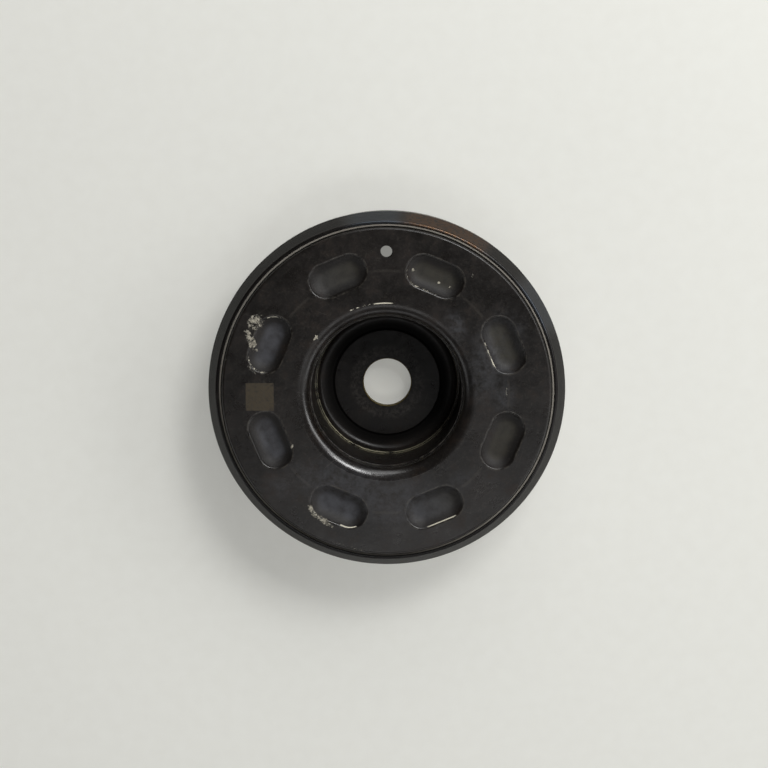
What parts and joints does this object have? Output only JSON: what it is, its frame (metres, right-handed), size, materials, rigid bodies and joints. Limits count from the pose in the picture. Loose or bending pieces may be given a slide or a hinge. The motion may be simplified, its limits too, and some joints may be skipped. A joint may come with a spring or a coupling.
{
  "type": "crankshaft pulley",
  "caption": "Damped crankshaft pulley: pressed steel hub disc with round-ended pockets and a deep cup, rubber ring and a belt ring with poly-V grooves.",
  "frame": {"origin": "on the pulley's axis, in the plane of the belt ring's rear edge that the pulley rests on", "axes": "+Z along the axis, from the engine side out to the front face; +Y through the timing hole"},
  "size_m": [0.1432, 0.1432, 0.038],
  "materials": {
    "hub_steel": "black dip coat, worn",
    "track_rubber": "matt, greyed by bloom and dust",
    "ring_steel": "black coat over a turned surface"
  },
  "bodies": {
    "root": {"hub_disc": "hub_steel", "rubber_ring": "track_rubber", "belt_ring": "ring_steel"}
  },
  "joints": []
}
